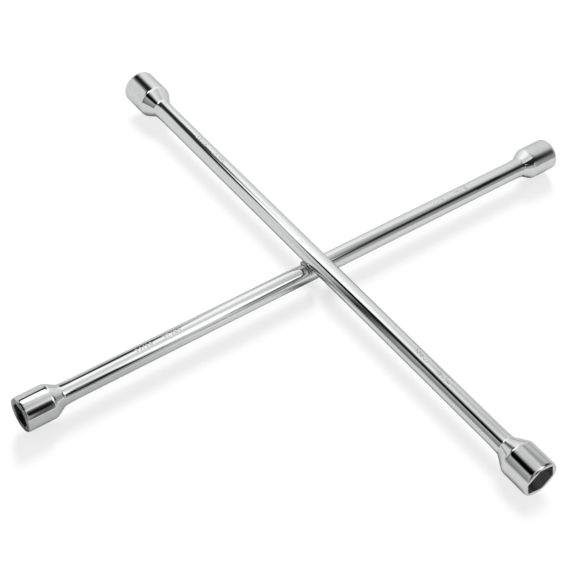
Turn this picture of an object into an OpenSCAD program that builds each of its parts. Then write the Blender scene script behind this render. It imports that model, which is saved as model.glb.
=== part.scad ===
// Four-way lug wrench. Two round steel bars are welded in a cross, one over the other, and a
// forged hex socket is friction welded to each of the four ends. Nothing on it moves.
// The upper bar lies along X and the lower bar along Y. +Z is up, and the origin is on the
// ground, straight below the crossing.

/* [Bars] */
// Diameter of both round bars
bar_d = 15.5; // [14:0.1:18]
// Reach of the arm with the 22 mm socket, from the crossing to the mouth
reach_22 = 254; // [170:0.5:300]
// Reach of the arm with the 21 mm socket
reach_21 = 251.5; // [170:0.5:300]
// Reach of the arm with the 19 mm socket
reach_19 = 252; // [170:0.5:300]
// Reach of the arm with the 17 mm socket
reach_17 = 255.5; // [170:0.5:300]
// Depth of the saddle where the upper bar beds into the lower one
saddle_depth = 0.9; // [0.3:0.1:1.8]

/* [Sockets] */
// Outer diameter of the two large sockets, 22 mm and 21 mm
large_socket_d = 29.2; // [28.6:0.1:32]
// Outer diameter of the two small sockets, 19 mm and 17 mm
small_socket_d = 26.5; // [26:0.1:29]
// Overall length of a socket, from its mouth to the weld on the bar
socket_l = 42; // [41:0.5:60]
// Length of the barrel, the straight part of a socket
barrel_l = 23.5; // [21:0.5:25]
// Length of the 21 mm socket's barrel, which is a longer forging than the others
long_barrel_l = 25.5; // [21:0.5:26]
// Half angle of the conical shoulder behind the barrel
shoulder_angle = 30; // [28:1:40]
// Radius of the blend from the shoulder into the barrel
barrel_blend_r = 6.5; // [2:0.5:10]
// Radius of the blend from the bar into the shoulder
neck_blend_r = 8; // [4:0.5:14]
// Radius round the outside of the mouth
rim_r = 0.9; // [0.4:0.1:1]

/* [Hex] */
// Clearance across flats between a nut and its hex
hex_clearance = 0.2; // [0.1:0.05:0.4]
// Bevel round the mouth of the hex
hex_bevel = 0.4; // [0.2:0.1:0.5]
// Depth of the hex, from the mouth to the end of its flats
hex_depth = 19; // [14:0.5:20]
// Depth of the conical bottom below the flats
punch_point_l = 2.6; // [1:0.1:4]
// Turn of the hexes on the upper bar about their own axis
upper_hex_turn = 15; // [0:1:59]
// Turn of the hexes on the lower bar about their own axis
lower_hex_turn = 0; // [0:1:59]

/* [Weld beads] */
// Radius of the weld bead in each crotch of the crossing
bead_r = 1.7; // [1.4:0.1:2.6]
// Distance of each bead's centre line from the middle of the upper bar
bead_offset = 5.8; // [5.4:0.1:7]
// Height of the bead's centre line over the lower bar's surface
bead_rise = 0.6; // [0.4:0.1:1.2]
// Angle that each bead runs round the lower bar
bead_arc = 110; // [90:1:140]

/* [Hidden] */
$fn = 96;
bar_r = bar_d / 2;
lower_z = small_socket_d / 2;
upper_z = lower_z + bar_d - saddle_depth;
blend_steps = 8;
rim_steps = 4;
// The bevel's cutter ends this far inside the flats, so that it crosses each of them cleanly
bevel_overrun = 0.3;
// The conical bottom starts at this share of the hex's inner radius
punch_ratio = 0.95;
// A cutting solid runs past the face that it opens by this much
past = 1;
chrome = [0.82, 0.84, 0.86];
weld_grey = [0.62, 0.63, 0.65];

function arc(centre, r, from, to, steps) =
    [for (i = [0:steps]) let (a = from + (to - from) * i / steps) centre + r * [cos(a), sin(a)]];

// Half of a socket's outside in [radius, height]: the mouth is at height 0, the weld at -socket_l
module socket_outline(outer_r, barrel) {
    shoulder_l = (outer_r - bar_r) / tan(shoulder_angle);
    half_turn = tan(shoulder_angle / 2);
    barrel_blend = [outer_r - barrel_blend_r, -barrel + barrel_blend_r * half_turn];
    neck_blend = [bar_r + neck_blend_r, -barrel - shoulder_l - neck_blend_r * half_turn];
    polygon(concat(
        [[0, 0]],
        arc([outer_r - rim_r, -rim_r], rim_r, 90, 0, rim_steps),
        arc(barrel_blend, barrel_blend_r, 0, -shoulder_angle, blend_steps),
        arc(neck_blend, neck_blend_r, 180 - shoulder_angle, 180, blend_steps),
        [[bar_r, -socket_l], [0, -socket_l]]
    ));
}

// The hex, with a bevel round its mouth and a conical bottom left by the punch
module hex_cavity(size, turn) {
    flat_r = (size + hex_clearance) / 2;
    rotate([0, 0, turn]) {
        translate([0, 0, -hex_depth]) cylinder(h = hex_depth + past, r = flat_r / cos(30), $fn = 6);
        translate([0, 0, -hex_bevel - bevel_overrun])
            cylinder(h = hex_bevel + bevel_overrun + past, r1 = (flat_r - bevel_overrun) / cos(30),
                     r2 = (flat_r + hex_bevel + past) / cos(30), $fn = 6);
    }
    translate([0, 0, -hex_depth - punch_point_l])
        cylinder(h = punch_point_l, r1 = 0, r2 = flat_r * punch_ratio);
}

// A socket with the middle of its mouth at the origin, opening towards +Z
module socket(size, outer_d, barrel, turn) {
    color(chrome) difference() {
        rotate_extrude() socket_outline(outer_d / 2, barrel);
        hex_cavity(size, turn);
    }
}

module upper_bar_shape() {
    translate([socket_l - reach_21, 0, upper_z]) rotate([0, 90, 0])
        cylinder(h = reach_22 + reach_21 - 2 * socket_l, r = bar_r);
}

module lower_bar_shape() {
    translate([0, socket_l - reach_17, lower_z]) rotate([-90, 0, 0])
        cylinder(h = reach_19 + reach_17 - 2 * socket_l, r = bar_r);
}

module upper_bar() {
    color(chrome) upper_bar_shape();
}

module lower_bar() {
    color(chrome) difference() {
        lower_bar_shape();
        upper_bar_shape();
    }
}

module socket_22mm() {
    translate([reach_22, 0, upper_z]) rotate([0, 90, 0])
        socket(22, large_socket_d, barrel_l, upper_hex_turn);
}

module socket_21mm() {
    translate([-reach_21, 0, upper_z]) rotate([0, -90, 0])
        socket(21, large_socket_d, long_barrel_l, upper_hex_turn);
}

module socket_19mm() {
    translate([0, reach_19, lower_z]) rotate([-90, 0, 0])
        socket(19, small_socket_d, barrel_l, lower_hex_turn);
}

module socket_17mm() {
    translate([0, -reach_17, lower_z]) rotate([90, 0, 0])
        socket(17, small_socket_d, barrel_l, lower_hex_turn);
}

// A bead that runs over the lower bar beside the upper one, on the side of Y that side gives
module weld_bead(side) {
    color(weld_grey) difference() {
        translate([0, side * bead_offset, lower_z])
            rotate([90, 0, 0]) rotate([0, 0, 90 - bead_arc / 2])
                rotate_extrude(angle = bead_arc) translate([bar_r + bead_rise, 0]) circle(r = bead_r);
        upper_bar_shape();
        lower_bar_shape();
    }
}

module front_weld_bead() {
    weld_bead(-1);
}

module rear_weld_bead() {
    weld_bead(1);
}

upper_bar();
lower_bar();
socket_22mm();
socket_21mm();
socket_19mm();
socket_17mm();
front_weld_bead();
rear_weld_bead();
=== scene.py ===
"""The looks of the four-way lug wrench: chromed bars and sockets, weld beads, studio floor and light."""
import math

import bmesh
import bpy
import numpy as np
from mathutils import Matrix, Vector


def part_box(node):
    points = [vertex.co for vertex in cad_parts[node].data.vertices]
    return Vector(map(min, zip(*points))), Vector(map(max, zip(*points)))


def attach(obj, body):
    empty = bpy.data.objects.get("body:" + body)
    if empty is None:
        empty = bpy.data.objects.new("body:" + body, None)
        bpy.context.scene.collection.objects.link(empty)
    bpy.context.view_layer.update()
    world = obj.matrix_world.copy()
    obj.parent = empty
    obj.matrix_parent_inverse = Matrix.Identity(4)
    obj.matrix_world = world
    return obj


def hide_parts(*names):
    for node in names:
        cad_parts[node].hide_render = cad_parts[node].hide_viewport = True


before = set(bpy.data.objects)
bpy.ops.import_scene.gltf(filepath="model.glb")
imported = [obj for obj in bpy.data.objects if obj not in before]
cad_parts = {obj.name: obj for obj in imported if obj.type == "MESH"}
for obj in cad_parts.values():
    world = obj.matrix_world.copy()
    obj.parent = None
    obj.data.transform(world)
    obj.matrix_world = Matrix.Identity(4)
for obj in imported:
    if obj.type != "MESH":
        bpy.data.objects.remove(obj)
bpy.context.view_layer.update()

MM = 0.001
X, Y, Z = np.eye(3)

# ---- sizes, in millimetres, worked out from the frame ----------------------------------------


def node_box(node):
    """A CAD node's lowest and highest corners, in millimetres."""
    low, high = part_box(node)
    return np.array(low) / MM, np.array(high) / MM


upper_low, upper_high = node_box("upper_bar")
lower_low, lower_high = node_box("lower_bar")
SOCKET_BOX = {size: node_box(f"socket_{size}mm") for size in (22, 21, 19, 17)}
large_low, large_high = SOCKET_BOX[22]
small_low, small_high = SOCKET_BOX[17]

BAR_R = (lower_high[0] - lower_low[0]) / 2
UPPER_Z = (upper_low[2] + upper_high[2]) / 2
LOWER_Z = lower_low[2] + BAR_R
SOCKET_L = large_high[0] - upper_high[0]
LARGE_R = (large_high[2] - large_low[2]) / 2
SMALL_R = (small_high[2] - small_low[2]) / 2

# Where each mouth lies along its bar, and how long its barrel is
MOUTH = {22: large_high[0], 21: SOCKET_BOX[21][0][0], 19: SOCKET_BOX[19][1][1], 17: small_low[1]}
BARREL_L = {22: 23.5, 21: 25.5, 19: 23.5, 17: 23.5}
# The socket's other proportions, as designed: the slope of its shoulder, the rounding at both ends of
# it, and the slow flare of the bar before it
SHOULDER = math.radians(30)
BARREL_BLEND_R = 6.5
NECK_BLEND_R = 5.5
FLARE_R = 150.0
FLARE_TURN = math.radians(4.5)
# The rounded edge of the mouth: its length, its depth and how full its curve is
RIM_L = 2.4
RIM_DEPTH = 0.9
RIM_FULLNESS = 0.9
# How far inside its two roundings the barrel's own rings start and end
BARREL_START = 3.5
BARREL_END = 0.6
# The hexagonal bore, the step at its bottom, and the cone that the punch leaves there
HEX_CLEARANCE = 0.2
HEX_DEPTH = 19.0
HEX_BEVEL = 0.4
HEX_CORNER_R = 0.9
STEP_SHARE = 0.985
STEP_TOP = 0.05
STEP_BOTTOM = 0.08
PUNCH_SHARE = 0.95
PUNCH_POINT_L = 2.6

# ---- mesh helpers ----------------------------------------------------------------------------


def smooth(t):
    """An S-shaped ramp from 0 to 1."""
    t = np.clip(t, 0, 1)
    return t * t * (3 - 2 * t)


def make_object(name, rows, close_ends=(False, False), sharp_deg=40, slots=()):
    """A piece from rings of points in millimetres, each ring closed on itself. slots gives the material
    of every band between two rings."""
    rows = [np.asarray(r, float) for r in rows]
    count = len(rows[0])
    points = list(np.concatenate(rows) * MM)
    faces, marks = [], []
    for i in range(len(rows) - 1):
        a, b = i * count, (i + 1) * count
        for k in range(count):
            n = (k + 1) % count
            faces.append((a + k, a + n, b + n, b + k))
            marks.append(slots[i] if slots else 0)
    for wanted, base, mark in ((close_ends[0], 0, 0), (close_ends[1], len(rows) - 1, -1)):
        if not wanted:
            continue
        centre = len(points)
        points.append(rows[base].mean(0) * MM)
        for k in range(count):
            n = (k + 1) % count
            edge = (base * count + n, base * count + k)
            faces.append((centre,) + (edge if base == 0 else edge[::-1]))
            marks.append(slots[mark] if slots else 0)
    mesh = bpy.data.meshes.new(name)
    mesh.from_pydata([tuple(p) for p in points], [], faces)
    mesh.polygons.foreach_set("material_index", marks)
    mesh.polygons.foreach_set("use_smooth", [True] * len(faces))
    mesh.validate()
    mesh.set_sharp_from_angle(angle=math.radians(sharp_deg))
    piece = bpy.data.objects.new(name, mesh)
    bpy.context.scene.collection.objects.link(piece)
    return piece


def outward(piece):
    """Turns every face's normal out of the solid."""
    work = bmesh.new()
    work.from_mesh(piece.data)
    bmesh.ops.recalc_face_normals(work, faces=work.faces)
    work.to_mesh(piece.data)
    work.free()
    return piece


def finish_piece(piece, node, slot, *materials):
    """Gives a piece its materials and its body, and hides the CAD node it stands for."""
    for material in materials:
        piece.data.materials.append(material)
    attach(piece, "root")
    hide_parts(node)


# ---- materials -------------------------------------------------------------------------------


class Nodes:
    """Short names for building a node tree."""

    def __init__(self, owner):
        owner.use_nodes = True
        self.tree = owner.node_tree
        self.tree.nodes.clear()

    def add(self, kind, inputs=(), **settings):
        """A node. An input that is another node's output gets linked, and any other is a plain value."""
        node = self.tree.nodes.new(kind)
        for key, value in settings.items():
            setattr(node, key, value)
        for key, value in dict(inputs).items():
            if isinstance(value, bpy.types.NodeSocket):
                self.tree.links.new(value, node.inputs[key])
            else:
                node.inputs[key].default_value = value
        return node

    def math(self, operation, a, b=0.0, c=0.0, clamp=False):
        node = self.add("ShaderNodeMath", {0: a, 1: b, 2: c}, operation=operation, use_clamp=clamp)
        return node.outputs[0]


# The chrome's reflection is made darker at a grazing angle: painted shade, the dark edge of a mirrored
# contact shadow along its outlines
GRAZING_SHADE_TINT = (0.72, 0.72, 0.72, 1)
# The grain's scale along a bar and along a bore, against 1 across it, which draws it out into lines
DRAWN = 0.03
BROACHED = 0.05
# The darkest and lightest streaks, as shares of the colour
EVEN_TONES = (0.965, 1.02)
STREAKY_TONES = (0.6, 1.4)


def metal(name, colour, roughness, spread, wave, grain, stretch=(1, 1, 1), tones=EVEN_TONES):
    """Chromed or bare metal: cloudy roughness, a slow wave of the surface and a fine drawn grain, both
    heights in metres. tones are the darkest and lightest streaks, as shares of the colour."""
    material = bpy.data.materials.new(name)
    n = Nodes(material)
    place = n.add("ShaderNodeTexCoord").outputs["Object"]
    cloud = n.add("ShaderNodeTexNoise", {"Vector": place, "Scale": 42.0, "Detail": 4.0}).outputs["Fac"]
    drawn = n.add("ShaderNodeMapping", {"Vector": place, "Scale": stretch}).outputs[0]
    lines = n.add("ShaderNodeTexNoise", {"Vector": drawn, "Scale": 900.0, "Detail": 3.0}).outputs["Fac"]
    slow = n.add("ShaderNodeTexNoise", {"Vector": place, "Scale": 55.0, "Detail": 1.0}).outputs["Fac"]
    rough = n.math("MULTIPLY_ADD", cloud, spread, roughness - spread / 2)
    rough = n.math("MULTIPLY_ADD", lines, spread * 0.6, rough, clamp=True)
    height = n.math("MULTIPLY", slow, wave)
    height = n.math("MULTIPLY_ADD", lines, grain, height)
    bump = n.add("ShaderNodeBump", {"Height": height, "Strength": 1.0, "Distance": 1.0})
    streaks = n.add("ShaderNodeTexNoise", {"Vector": drawn, "Scale": 260.0, "Detail": 2.0}).outputs["Fac"]
    tint = n.add("ShaderNodeMix", {"Factor": n.math("MULTIPLY_ADD", streaks, 3.0, -1.0, clamp=True)},
                 data_type="RGBA")
    tint.inputs[6].default_value = (*[c * tones[0] for c in colour], 1)
    tint.inputs[7].default_value = (*[min(1, c * tones[1]) for c in colour], 1)
    shader = n.add("ShaderNodeBsdfPrincipled", {
        "Base Color": tint.outputs[2], "Metallic": 1.0, "Roughness": rough, "Normal": bump.outputs[0],
        "Specular Tint": GRAZING_SHADE_TINT,
    })
    n.add("ShaderNodeOutputMaterial", {0: shader.outputs[0]})
    return material


BAR_COLOUR = (0.70, 0.705, 0.71)
bar_x_chrome = metal("bar_chrome_x", BAR_COLOUR, 0.035, 0.03, 6e-5, 4e-7, (DRAWN, 1, 1))
bar_y_chrome = metal("bar_chrome_y", BAR_COLOUR, 0.035, 0.03, 6e-5, 4e-7, (1, DRAWN, 1))
socket_chrome = metal("socket_chrome", (0.68, 0.685, 0.69), 0.035, 0.03, 6e-5, 3e-7)
# The walls of the bores and the bottoms of all four, whose colours paint light and shade
# Upper bar: a much lighter copy of the bore metal, painted light on its bore walls
bore_metal_painted_light_x = metal("hex_bore_metal_x_painted_light", (0.8, 0.81, 0.8), 0.3, 0.1, 8e-6, 3e-6,
                     (BROACHED, 1, 1), STREAKY_TONES)
# Lower bar: a darker copy, painted shade on its bore walls and on the flat of its mouths
bore_metal_painted_shade_y = metal("hex_bore_metal_y_painted_shade", (0.30, 0.31, 0.30), 0.3, 0.1, 8e-6, 3e-6,
                     (1, BROACHED, 1), STREAKY_TONES)
# The bottoms: darker still, painted shade deep in the bore
pit_metal_painted_shade = metal("hex_pit_metal", (0.24, 0.245, 0.24), 0.42, 0.15, 8e-6, 6e-6, tones=(0.7, 1.3))
weld_chrome = metal("weld_chrome", (0.34, 0.345, 0.35), 0.08, 0.06, 2e-5, 1e-6)

# ---- stamped size marks ----------------------------------------------------------------------

# Height and length of a group, and how far from the crossing each of an arm's two groups starts
MARK_H = 3.6
MARK_L = 13.5
MARK_STARTS = (160.0, 136.0)
# A stroke's depth, the width of its banks, the lip pushed up beside it, and the mesh's pitch there
MARK_DEPTH = 0.25
MARK_BANK = 0.22
MARK_LIP = 0.04
MARK_LIP_W = 0.3
MARK_PITCH = 0.15
# The shallow dent round a group: its depth, how far past the ends it starts, and its slope's length
DENT_DEPTH = 0.05
DENT_MARGIN = 1.6
DENT_RAMP = 2.0


class Mark:
    """One stamped group of numerals, as a depth over its own plane: u along the line, v up it."""

    def __init__(self, text):
        curve = bpy.data.curves.new("mark", "FONT")
        curve.body = text
        curve.space_character = 1.1
        curve.offset = 0.015
        word = bpy.data.objects.new("mark", curve)
        bpy.context.scene.collection.objects.link(word)
        bpy.context.view_layer.update()
        solved = bpy.context.evaluated_depsgraph_get()
        mesh = bpy.data.meshes.new_from_object(word.evaluated_get(solved))
        points = np.array([v.co[:2] for v in mesh.vertices])
        used = {}
        for polygon in mesh.polygons:
            for edge in polygon.edge_keys:
                used[edge] = used.get(edge, 0) + 1
        rim = np.array([edge for edge, times in used.items() if times == 1])
        low, high = points.min(0), points.max(0)
        points = (points - low) * (MARK_L / (high[0] - low[0]), MARK_H / (high[1] - low[1]))
        points[:, 1] -= MARK_H / 2
        self.a, self.b = points[rim[:, 0]], points[rim[:, 1]]
        self.length = points[:, 0].max()
        bpy.data.objects.remove(word)
        bpy.data.curves.remove(curve)
        bpy.data.meshes.remove(mesh)

    def depth(self, u, v):
        """How far the surface sinks at (u, v): the stroke, its raised lip and the dent round the group."""
        point = np.stack([u.ravel(), v.ravel()], 1)[:, None]
        along = self.b - self.a
        share = ((point - self.a) * along).sum(2) / (along ** 2).sum(1)
        gap = point - self.a - np.clip(share, 0, 1)[..., None] * along
        away = np.sqrt((gap ** 2).sum(2).min(1))
        crosses = (self.a[:, 1] > point[..., 1]) != (self.b[:, 1] > point[..., 1])
        rise = np.where(along[:, 1] == 0, 1e-9, along[:, 1])
        meets = self.a[:, 0] + (point[..., 1] - self.a[:, 1]) / rise * along[:, 0]
        inside = (crosses & (point[..., 0] < meets)).sum(1) % 2 == 1
        stroke = np.where(inside, smooth(away / MARK_BANK) * MARK_DEPTH, 0)
        lip = np.where(inside, 0, -MARK_LIP * (1 - smooth(away / MARK_LIP_W)))
        return (stroke + lip).reshape(u.shape)


def dent(u, v, length):
    """The shallow dent that the stamp leaves round its numerals."""
    ends = smooth((u + DENT_MARGIN) / DENT_RAMP) * smooth((length + DENT_MARGIN - u) / DENT_RAMP)
    sides = 1 - smooth((np.abs(v) - MARK_H * 0.35) / (MARK_H * 0.5))
    return DENT_DEPTH * ends * sides


# ---- sockets ---------------------------------------------------------------------------------

# The angles of the points of a socket's rings
AROUND = np.radians(np.arange(0, 360, 1.5))
# The rounded edge of the hexagon, from the flat of the mouth into the bore: how far out of the hexagon
# and how deep, in shares of HEX_BEVEL
BEVEL_STEPS = ((1.25, 0), (1.0, 0.04), (0.55, 0.3), (0.0, 0.95), (0.0, 1.3))
# How many rings past the outside's last one the chrome ends: on the bevel of a bright mouth, or
# halfway round the rim of one whose flat takes the dark bore metal, painted shade
BRIGHT_MOUTH_RINGS = 3
SHADED_MOUTH_RINGS = -7


def arc_points(centre, r, start, end, steps):
    """Points along an arc, from angle start to angle end."""
    return [(centre[0] + r * math.cos(a), centre[1] + r * math.sin(a))
            for a in np.linspace(start, end, steps + 1)]


def flare_start(outer_r, barrel_l):
    """Height, with the mouth at 0, where the bar begins to swell into the socket's neck."""
    rise = FLARE_R * (1 - math.cos(FLARE_TURN))
    rise += NECK_BLEND_R * (math.cos(FLARE_TURN) - math.cos(SHOULDER))
    run = FLARE_R * math.sin(FLARE_TURN)
    run += NECK_BLEND_R * (math.sin(SHOULDER) - math.sin(FLARE_TURN))
    return -barrel_l - (outer_r - BAR_R - rise) / math.tan(SHOULDER) - run


def flared(height, outer_r, barrel_l):
    """The bar's radius near its end, at a height measured from the mouth."""
    reach = np.clip(height - flare_start(outer_r, barrel_l), 0, FLARE_R * math.sin(FLARE_TURN))
    return BAR_R + FLARE_R - np.sqrt(FLARE_R ** 2 - reach ** 2)


def outside(outer_r, barrel_l):
    """The socket's outside from the weld to the mouth, as (radius, height) with the mouth at 0."""
    start = flare_start(outer_r, barrel_l)
    flare_end = start + FLARE_R * math.sin(FLARE_TURN)
    flare_top = BAR_R + FLARE_R * (1 - math.cos(FLARE_TURN))
    neck = (flare_top + NECK_BLEND_R * math.cos(FLARE_TURN),
            flare_end - NECK_BLEND_R * math.sin(FLARE_TURN))
    barrel = (outer_r - BARREL_BLEND_R, -barrel_l + BARREL_BLEND_R * math.tan(SHOULDER / 2))
    points = [(float(flared(z, outer_r, barrel_l)), z) for z in np.linspace(-SOCKET_L, flare_end, 8)[:-1]]
    points += arc_points(neck, NECK_BLEND_R, math.pi - FLARE_TURN, math.pi - SHOULDER, 18)
    points += arc_points(barrel, BARREL_BLEND_R, -SHOULDER, 0, 16)
    points += [(outer_r, z) for z in np.linspace(-barrel_l + BARREL_START, -RIM_L - BARREL_END, 6)]
    for turn in np.radians(np.linspace(0, 90, 15)):
        shrink = RIM_DEPTH * (1 - math.cos(turn) ** RIM_FULLNESS)
        points.append((outer_r - shrink, -RIM_L * (1 - math.sin(turn))))
    return points


def hex_radius(flat_r, turn):
    """The rounded hexagon's radius at every angle of AROUND."""
    off = np.abs((AROUND - turn + math.pi / 6) % (math.pi / 3) - math.pi / 6)
    centre = (flat_r - HEX_CORNER_R) / math.cos(math.pi / 6)
    reach = centre * np.sin(off)
    round_r = centre * np.cos(off) + np.sqrt(np.clip(HEX_CORNER_R ** 2 - reach ** 2, 0, None))
    tangent = math.atan2(HEX_CORNER_R / 2, centre + HEX_CORNER_R * math.cos(math.pi / 6))
    return np.where(off < tangent, round_r, flat_r / np.cos(math.pi / 6 - off))


def socket(size, outer_r, turn_deg, centre, out, right, bright_mouth):
    """A forged hex socket. out points out of its mouth, and right is its own first axis."""
    flat_r = (size + HEX_CLEARANCE) / 2
    hexagon = hex_radius(flat_r, math.radians(turn_deg))
    ring = np.ones(len(AROUND))
    shape = [(r * ring, z * ring) for r, z in outside(outer_r, BARREL_L[size])]
    # A mouth that isn't bright takes the bore metal from here on: painted shade on its flat and rim
    chromed = len(shape) + (BRIGHT_MOUTH_RINGS if bright_mouth else SHADED_MOUTH_RINGS)
    for out_by, drop in BEVEL_STEPS:
        shape.append((hexagon + out_by * HEX_BEVEL, -drop * HEX_BEVEL * ring))
    for depth in np.linspace(1, HEX_DEPTH, 10):
        shape.append((hexagon, -depth * ring))
    bored = len(shape) - 1
    shape.append((STEP_SHARE * hexagon, -(HEX_DEPTH + STEP_TOP) * ring))
    for share in (1, 0.7, 0.4, 0.1):
        depth = HEX_DEPTH + STEP_BOTTOM + PUNCH_POINT_L * (1 - share)
        shape.append((flat_r * PUNCH_SHARE * share * ring, -depth * ring))
    other = np.cross(out, right)
    rows = [np.outer(r * np.cos(AROUND), right) + np.outer(r * np.sin(AROUND), other)
            + np.outer(z, out) + centre for r, z in shape]
    slots = [0 if i < chromed else 1 if i < bored else 2 for i in range(len(rows) - 1)]
    name = f"socket_{size}_forging"
    return outward(make_object(name, rows, close_ends=(True, True), sharp_deg=35, slots=slots))


# size, bore metal (a copy whose colour paints light and shade), outer radius, turn of the hex, middle
# of the mouth, way out, first axis, and whether the flat of the mouth is as bright as the outside;
# where it isn't, that flat is painted in shade with the bore metal
SOCKETS = (
    (22, bore_metal_painted_light_x, LARGE_R, 15, X * MOUTH[22] + Z * UPPER_Z, X, -Z, True),
    (21, bore_metal_painted_light_x, LARGE_R, 15, X * MOUTH[21] + Z * UPPER_Z, -X, Z, True),
    (19, bore_metal_painted_shade_y, SMALL_R, 0, Y * MOUTH[19] + Z * LOWER_Z, Y, X, False),
    (17, bore_metal_painted_shade_y, SMALL_R, 0, Y * MOUTH[17] + Z * LOWER_Z, -Y, X, False),
)
for size, bore, *values in SOCKETS:
    piece = socket(size, *values)
    finish_piece(piece, f"socket_{size}mm", "socket_chrome", socket_chrome, bore, pit_metal_painted_shade)

# ---- bars ------------------------------------------------------------------------------------

# Where the mesh is fine: half the width of the strip along the top, how far past a stamped group, and
# half the length at the crossing
FINE_HALF_W = 2.4
FINE_MARGIN = 2
CROSSING_HALF_L = 4.0
# The patch round a group that its strokes and dent reach: half its height, and how far past the ends
PATCH_HALF_H = 2.8
PATCH_MARGIN = 2.2


def axial_stations(low_end, high_end, zones):
    """Places along a bar: close together inside the zones, about 6 mm apart elsewhere."""
    stations = set(np.round(np.linspace(low_end, high_end, 73), 4))
    for low, high in zones:
        stations = {s for s in stations if not low - 1 < s < high + 1}
        stations |= set(np.round(np.arange(low, high + MARK_PITCH, MARK_PITCH), 4))
    return np.array(sorted(stations))


def bar(name, axis, height, outer_r, arms):
    """A round bar along axis. arms gives the socket size and the two marks of its - and + ends. The
    lower bar also gets the bed that the upper one lies in."""
    side = np.cross(Z, axis)
    fine = math.radians(90) - np.arange(-FINE_HALF_W, FINE_HALF_W + 1e-4, MARK_PITCH) / BAR_R
    coarse = np.linspace(fine[0], fine[-1] + 2 * math.pi, 97)[1:-1]
    angles = np.concatenate([fine[::-1], coarse])
    marks, zones = [], []
    for sign, (_, *texts) in zip((-1, 1), arms):
        for start, text in zip(MARK_STARTS, texts):
            mark = Mark(text)
            near, far = sign * start, sign * (start - mark.length)
            marks.append((mark, sign, start))
            zones.append((min(near, far) - FINE_MARGIN, max(near, far) + FINE_MARGIN))
    if name.startswith("lower"):
        zones.append((-CROSSING_HALF_L, CROSSING_HALF_L))
    low_size, high_size = arms[0][0], arms[1][0]
    stations = axial_stations(MOUTH[low_size] + SOCKET_L, MOUTH[high_size] - SOCKET_L, zones)
    along, around = np.meshgrid(stations, angles, indexing="ij")
    radius = np.where(along < 0, flared(-along + MOUTH[low_size], outer_r, BARREL_L[low_size]),
                      flared(along - MOUTH[high_size], outer_r, BARREL_L[high_size]))
    arc = BAR_R * ((math.pi / 2 - around + math.pi) % (2 * math.pi) - math.pi)
    for mark, sign, start in marks:
        u = start - sign * along
        v = -sign * arc
        close = (np.abs(v) < PATCH_HALF_H) & (u > -PATCH_MARGIN) & (u < mark.length + PATCH_MARGIN)
        sink = np.zeros(along.shape)
        sink[close] = mark.depth(u[close], v[close]) + dent(u[close], v[close], mark.length)
        radius -= sink
    spot = (along[..., None] * axis + (radius * np.cos(around))[..., None] * side
            + (height + radius * np.sin(around))[..., None] * Z)
    if name.startswith("lower"):
        bed = np.sqrt(np.clip(BAR_R ** 2 - spot[..., 1] ** 2, 0, None))
        inside = np.abs(spot[..., 1]) < BAR_R
        spot[..., 2] = np.where(inside, np.minimum(spot[..., 2], UPPER_Z - bed), spot[..., 2])
    return outward(make_object(name, list(spot), close_ends=(True, True), sharp_deg=60))


upper = bar("upper_bar_round", X, UPPER_Z, LARGE_R, ((21, "13/16", "21 MM"), (22, "7/8", "22 MM")))
finish_piece(upper, "upper_bar", "bar_chrome", bar_x_chrome)
lower = bar("lower_bar_round", Y, LOWER_Z, SMALL_R, ((17, "11/16", "17 MM"), (19, "3/4", "19 MM")))
finish_piece(lower, "lower_bar", "bar_chrome", bar_y_chrome)

# ---- weld beads ------------------------------------------------------------------------------

# A bead's own radius, how far its middle line lies over the lower bar's surface and beside the crossing,
# how far round the bar it runs to each side, and the spacing of its ripples
BEAD_R = 1.7
BEAD_RISE = 0.6
BEAD_OFFSET = 5.8
BEAD_HALF_ARC = math.radians(55)
RIPPLE_PITCH = 1.9


def weld_bead(name, side, seed):
    """A bead laid over the lower bar beside the upper one, with a ripple for every puddle."""
    draw = np.random.default_rng(seed)
    wander = draw.uniform(-1, 1, (3, 5))
    length = BEAD_HALF_ARC * 2 * (BAR_R + BEAD_RISE)
    rows = []
    section = np.linspace(0, 2 * math.pi, 36, endpoint=False)
    for t in np.linspace(0, 1, 150):
        turn = (2 * t - 1) * BEAD_HALF_ARC
        wave = [sum(w[k] * math.sin((k + 1) * 2.2 * t + 5 * w[k]) / (k + 1.5) for k in range(5))
                for w in wander]
        end = math.sqrt(max(0.0, 1 - abs(2 * t - 1) ** 9))
        # A ripple runs across the bead aslant, so it trails on one side
        lag = 0.5 * np.cos(section)
        ripple = np.abs(np.sin(math.pi * (t * length + lag * 1.2) / RIPPLE_PITCH + wave[2]))
        r = BEAD_R * end * (0.93 + 0.07 * wave[0] + 0.05 * ripple)
        ring_r = BAR_R + BEAD_RISE + 0.25 * wave[1] + r * np.sin(section)
        across = side * (BEAD_OFFSET + 0.3 * wave[0]) + r * np.cos(section)
        rows.append(np.outer(ring_r * math.sin(turn), X) + np.outer(ring_r * math.cos(turn), Z)
                    + np.outer(across, Y) + Z * LOWER_Z)
    return outward(make_object(name, rows, close_ends=(True, True), sharp_deg=80))


for node, side, seed in (("front_weld_bead", -1, 3), ("rear_weld_bead", 1, 8)):
    bead = weld_bead(node + "_ripples", side, seed)
    finish_piece(bead, node, "weld_chrome", weld_chrome)

# ---- camera ----------------------------------------------------------------------------------

# Where the camera stands and aims, as a scratch program fitted them to the outlines.
CAMERA_AZIMUTH = math.radians(50.78)
CAMERA_ELEVATION = math.radians(46.32)
CAMERA_ROLL = math.radians(3.96)
CAMERA_DISTANCE = 1.034
CAMERA_LENS = 84.95
CAMERA_AIM = np.array([0.0105, -0.0314, (UPPER_Z + LOWER_Z) / 2 * MM])

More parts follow.
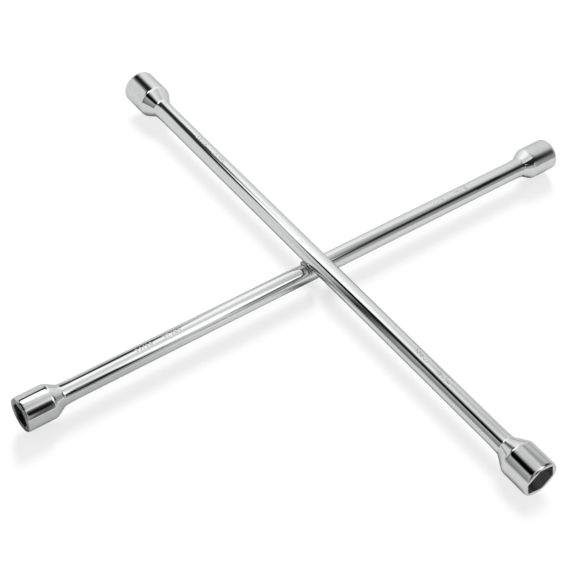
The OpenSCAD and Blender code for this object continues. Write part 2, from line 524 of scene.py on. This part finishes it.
camera_data = bpy.data.cameras.new("camera")
camera_data.lens = CAMERA_LENS
camera_data.sensor_width = 36.0
camera = bpy.data.objects.new("camera", camera_data)
bpy.context.scene.collection.objects.link(camera)
back = np.array([
    math.cos(CAMERA_ELEVATION) * math.sin(CAMERA_AZIMUTH),
    -math.cos(CAMERA_ELEVATION) * math.cos(CAMERA_AZIMUTH),
    math.sin(CAMERA_ELEVATION),
])
level = np.cross(Z, back)
level /= np.linalg.norm(level)
steep = np.cross(back, level)
right = math.cos(CAMERA_ROLL) * level + math.sin(CAMERA_ROLL) * steep
top = math.cos(CAMERA_ROLL) * steep - math.sin(CAMERA_ROLL) * level
place = CAMERA_AIM + back * CAMERA_DISTANCE
turned = np.stack([right, top, back], 1)
camera.matrix_world = Matrix([[*row, at] for row, at in zip(turned, place)] + [[0, 0, 0, 1]])
bpy.context.scene.camera = camera

# ---- studio ----------------------------------------------------------------------------------

SQUARE = ((-1, -1), (1, -1), (1, 1), (-1, 1))


def sheet(name, corners, material):
    """A flat stage piece from corners in metres."""
    mesh = bpy.data.meshes.new(name)
    mesh.from_pydata([tuple(c) for c in corners], [], [tuple(range(len(corners)))])
    mesh.materials.append(material)
    piece = bpy.data.objects.new(name, mesh)
    bpy.context.scene.collection.objects.link(piece)
    return piece


def floor_paint(name, colour, glow, painted_shade_spots=()):
    """A matt pale paper: colour is its share of returned light, and glow is light of its own. Each spot of
    painted shade is x, y, inner and outer radius in millimetres, and the share of the colour it takes
    away."""
    material = bpy.data.materials.new(name)
    n = Nodes(material)
    place = n.add("ShaderNodeTexCoord").outputs["Object"]
    grain = n.add("ShaderNodeTexNoise", {"Vector": place, "Scale": 300.0, "Detail": 2.0}).outputs["Fac"]
    shade = n.math("MULTIPLY_ADD", grain, 0.04, 0.98)
    # Each spot darkens the paper's colour round a point: painted shade
    for x, y, inner, outer, share in painted_shade_spots:
        spot = (x * MM, y * MM, 0)
        away = n.add("ShaderNodeVectorMath", {0: place, 1: spot}, operation="DISTANCE").outputs["Value"]
        kept = n.add("ShaderNodeMapRange", {
            "Value": away, "From Min": inner * MM, "From Max": outer * MM, "To Min": 1 - share,
        }, interpolation_type="SMOOTHSTEP").outputs[0]
        shade = n.math("MULTIPLY", shade, kept)
    tint = n.add("ShaderNodeMix", {"Factor": shade}, data_type="RGBA")
    tint.inputs[6].default_value = (0, 0, 0, 1)
    tint.inputs[7].default_value = (colour, colour, colour, 1)
    paper = n.add("ShaderNodeBsdfDiffuse", {"Color": tint.outputs[2]})
    lit = n.add("ShaderNodeEmission", {"Strength": glow})
    both = n.add("ShaderNodeAddShader", {0: paper.outputs[0], 1: lit.outputs[0]})
    n.add("ShaderNodeOutputMaterial", {0: both.outputs[0]})
    return material


# The light tent, drawn as a chart: the zenith is its middle, +X is to the right, +Y is up, and distances
# are degrees from the zenith. Each panel gives its centre, its half sizes along and across, its turn, how
# soft its edges are along and across, and how bright it looks in chrome, where 255 is white. Later panels
# cover earlier ones. All rows but the last began as a scratch program's fit, and were then rounded and
# adjusted.
TENT_R = 0.55
TENT_EDGE = 93
TENT_LEVEL = 200
TENT_PANELS = (
    (-40, 20, 20, 25, 55, 40, 40, 255),     # broad soft glow, -X side
    (90, -35, 35, 60, -45, 35, 2, 125),     # grey wall, +X side
    (40, 65, 50, 20, 110, 2, 35, 125),      # grey wall, +Y side
    (35, 50, 25, 35, -30, 5, 5, 140),       # paler grey panel before it
    (35, 40, 10, 25, 20, 10, 5, 30),        # dark gap in that panel
    (-14, -22, 70, 5, -25, 4, 16, 10),      # long dark gap overhead
    (-8, -96, 34, 40, 60, 35, 14, 115),     # grey wall, -Y side
    (-34, -76, 3, 36, -20, 6, 8, 30),       # thin dark strip on it
    (-7, -27, 25, 20, -15, 5, 5, 10),       # main dark gap, just -Y of the zenith
    (-50, -11, 9, 20, 25, 6, 8, 0),         # dark gap, -X side
    (55, -10, 20, 10, 30, 10, 5, 15),       # dark gap, +X side
    (65, -10, 35, 3, -20, 5, 2, 85),        # grey strip across it
    (-5, 0, 30, 20, -5, 40, 15, 260),       # broad bright light overhead
    (-29, -9, 11, 18, -50, 2, 2, 255),      # crisp bright panel, -X side
    (0, 10, 10, 32, 25, 25, 3, 175),        # dimmer strip in the broad light
    (36, 14, 16, 14, -40, 6, 4, 255),       # bright panel, +X side
    (48, 28, 10, 3, -35, 5, 4, 85),         # small dark gap at its corner
)
# The share of light that the chrome gives back
CHROME_SHARE = 0.68


def tent_light():
    """Light that the chrome mirrors: pale panels and dark gaps painted over the tent by direction."""
    material = bpy.data.materials.new("light_tent")
    n = Nodes(material)
    place = n.add("ShaderNodeTexCoord").outputs["Object"]
    ray = n.add("ShaderNodeVectorMath", {0: place}, operation="NORMALIZE").outputs[0]
    parts = n.add("ShaderNodeSeparateXYZ", {0: ray}).outputs
    tilt = n.math("DEGREES", n.math("ARCCOSINE", parts[2]))
    flat = n.add("ShaderNodeCombineXYZ", {0: parts[0], 1: parts[1]}).outputs[0]
    flat = n.add("ShaderNodeVectorMath", {0: flat}, operation="NORMALIZE").outputs[0]
    chart = n.add("ShaderNodeVectorMath", {0: flat, "Scale": tilt}, operation="SCALE").outputs[0]
    level = float(TENT_LEVEL)
    for cx, cy, half_u, half_v, turn, soft_u, soft_v, bright in TENT_PANELS:
        local = n.add("ShaderNodeMapping", {
            "Vector": chart, "Location": (cx, cy, 0), "Rotation": (0, 0, math.radians(turn)),
        }, vector_type="TEXTURE").outputs[0]
        sides = n.add("ShaderNodeSeparateXYZ", {0: local}).outputs
        cover = 1.0
        for side, half, soft in ((sides[0], half_u, soft_u), (sides[1], half_v, soft_v)):
            away = n.math("ABSOLUTE", side)
            edge = n.add("ShaderNodeMapRange", {
                "Value": away, "From Min": half + soft, "From Max": half - soft,
            }, interpolation_type="SMOOTHSTEP").outputs[0]
            cover = n.math("MULTIPLY", edge, cover)
        level = n.add("ShaderNodeMix", {"Factor": cover, 2: level, 3: float(bright)}).outputs[0]
    strength = n.math("POWER", n.math("DIVIDE", level, 255.0), 2.2)
    strength = n.math("DIVIDE", strength, CHROME_SHARE)
    shader = n.add("ShaderNodeEmission", {"Color": (1, 1, 1, 1), "Strength": strength})
    n.add("ShaderNodeOutputMaterial", {0: shader.outputs[0]})
    return material


SKY = 1.0
# The shown floor: its colour, what a full shadow of either lamp takes off its brightness, and that
# brightness in full light, where 1 is white
SHOWN_COLOUR = 0.12
SHADE = 0.17
SHOWN_LEVEL = 1.03
# The mirrored floor's colour, and the spots of painted shade on it, beside the 17 mm socket and by the
# crossing
MIRRORED_COLOUR = 0.45
PAINTED_FLOOR_SHADE = ((70, -215, 50, 160, 0.28), (15, 0, 5, 35, 0.4))
FLOOR_HALF = 8.0


def floor(name, z, paint):
    """A square of paper round the origin."""
    corners = [(x * FLOOR_HALF, y * FLOOR_HALF, z) for x, y in SQUARE]
    return sheet(name, corners, paint)


# One paper floor is seen directly, evenly lit but for the shadows. The chrome mirrors another, just below.
shown_glow = SHOWN_LEVEL - 2 * SHADE - SKY * SHOWN_COLOUR
shown = floor("studio_floor", 0, floor_paint("paper_shown", SHOWN_COLOUR, shown_glow))
shown.visible_glossy = False
shown.visible_diffuse = False
shown.visible_shadow = False
mirrored_paper = floor_paint("paper_mirrored", MIRRORED_COLOUR, 0.0, PAINTED_FLOOR_SHADE)
mirrored = floor("mirrored_floor", -0.0002, mirrored_paper)
mirrored.visible_camera = False


def hide_from(piece, *kinds):
    """Makes a stage piece invisible to the named kinds of rays."""
    for kind in kinds:
        setattr(piece, "visible_" + kind, False)


def tent():
    """A dome round the wrench that only mirror rays see."""
    tent_z = (UPPER_Z + LOWER_Z) / 2 * MM
    rows = []
    for tilt in np.radians(np.linspace(1, TENT_EDGE, 47)):
        turn = np.radians(np.arange(0, 360, 5))
        ring = np.stack([np.sin(tilt) * np.cos(turn), np.sin(tilt) * np.sin(turn),
                         np.full(len(turn), np.cos(tilt))], 1)
        rows.append(ring * TENT_R / MM)
    piece = make_object("light_tent", rows, close_ends=(True, False))
    piece.location = (0, 0, tent_z)
    piece.data.materials.append(tent_light())
    hide_from(piece, "camera", "diffuse", "transmission", "volume_scatter", "shadow")


tent()


def flag(name, centre, along, across):
    """A small black card, centre and half sides in millimetres, that only mirror rays see."""
    material = bpy.data.materials.new(name)
    n = Nodes(material)
    black = n.add("ShaderNodeEmission", {"Color": (0.02, 0.02, 0.02, 1), "Strength": 1.0})
    n.add("ShaderNodeOutputMaterial", {0: black.outputs[0]})
    middle, first, second = (np.array(v) * MM for v in (centre, along, across))
    corners = [middle + i * first + j * second for i, j in SQUARE]
    card = sheet(name, corners, material)
    hide_from(card, "camera", "diffuse", "transmission", "volume_scatter", "shadow")


# A card beside the 19 mm socket, whose shoulder mirrors it as a crisp dark mark
flag("flag", (42, MOUTH[19] - 30.5, 63), (0, 20, 8), (-14.5, -4, 11))


def collection(name, pieces):
    """A group of objects for a lamp to light or to be shaded by."""
    group = bpy.data.collections.new(name)
    for piece in pieces:
        group.objects.link(piece)
    return group


def lamp(name, towards, strength, angle_deg, receivers, blockers=None):
    """A broad far light shining along towards, on the receivers only, shaded by the blockers only."""
    light = bpy.data.lights.new(name, "SUN")
    light.energy = strength
    light.angle = math.radians(angle_deg)
    rig = bpy.data.objects.new(name, light)
    rig.rotation_euler = (-Vector(towards)).to_track_quat("Z", "Y").to_euler()
    rig.visible_glossy = False
    rig.light_linking.receiver_collection = receivers
    if blockers:
        rig.light_linking.blocker_collection = blockers
    bpy.context.scene.collection.objects.link(rig)


# The way each lamp shines, and how wide it looks, in degrees
LOW_LAMP = (1.3, -0.92, -1)
LOW_ANGLE = 16
HIGH_LAMP = (0.16, -0.08, -1)
HIGH_ANGLE = 22
KEY_LAMP = (-0.15, -0.3, -1)
KEY_ANGLE = 30
KEY_STRENGTH = 3.4
# The stand-ins that cast the shadows: where the lower bar's two leave a gap, each bar's share of its
# real thickness, and a socket's share of its real length
SHADE_GAP = (0.0, 16.0)
LOW_SLIM = 0.6
HIGH_SLIM = 0.88
SHADE_REACH = 0.98


def shade_rod(name, axis, height, size, near, outer_r, slim):
    """A slimmer copy of one arm, from its mouth to near the crossing, that only shades the floor."""
    way = math.copysign(1, MOUTH[size])
    profile = outside(outer_r, BARREL_L[size])[::-1]
    shape = [(slim * r, abs(MOUTH[size]) + z * SHADE_REACH) for r, z in profile]
    shape += [(slim * BAR_R, at) for at in np.linspace(shape[-1][1] - 1, near, 12)]
    turn = np.radians(np.arange(0, 360, 10))
    side = np.cross(Z, axis)
    rows = [np.outer(r * np.cos(turn), side) + np.outer(r * np.sin(turn), Z) + axis * way * at + Z * height
            for r, at in shape]
    rod = outward(make_object(name, rows, close_ends=(True, True)))
    hide_from(rod, "camera", "diffuse", "glossy", "transmission", "volume_scatter")
    return rod


# Slim stand-ins shade the floor that is seen, because its shadows are to be narrower than the bars. The
# lower bar's two leave a gap at the crossing, where the upper bar's shadow takes over.
low_rods = [
    shade_rod("shade_17", Y, LOWER_Z, 17, -SHADE_GAP[0], SMALL_R, LOW_SLIM),
    shade_rod("shade_19", Y, LOWER_Z, 19, SHADE_GAP[1], SMALL_R, LOW_SLIM),
]
high_rods = [
    shade_rod("shade_21", X, UPPER_Z, 21, 0.0, LARGE_R, HIGH_SLIM),
    shade_rod("shade_22", X, UPPER_Z, 22, 0.0, LARGE_R, HIGH_SLIM),
]
seen_floor = collection("seen_floor", [shown])
for name, towards, angle, rods in (
    ("low_lamp", LOW_LAMP, LOW_ANGLE, low_rods),
    ("high_lamp", HIGH_LAMP, HIGH_ANGLE, high_rods),
):
    steep = -towards[2] / Vector(towards).length
    strength = SHADE * math.pi / (SHOWN_COLOUR * steep)
    lamp(name, towards, strength, angle, seen_floor, collection(name, rods))
lamp("key_lamp", KEY_LAMP, KEY_STRENGTH, KEY_ANGLE, collection("mirrored", [mirrored]))

world = bpy.data.worlds.new("studio")
bpy.context.scene.world = world
n = Nodes(world)
sky = n.add("ShaderNodeBackground", {"Color": (1, 1, 1, 1), "Strength": SKY})
n.add("ShaderNodeOutputWorld", {0: sky.outputs[0]})

bpy.context.scene.view_settings.view_transform = "Standard"
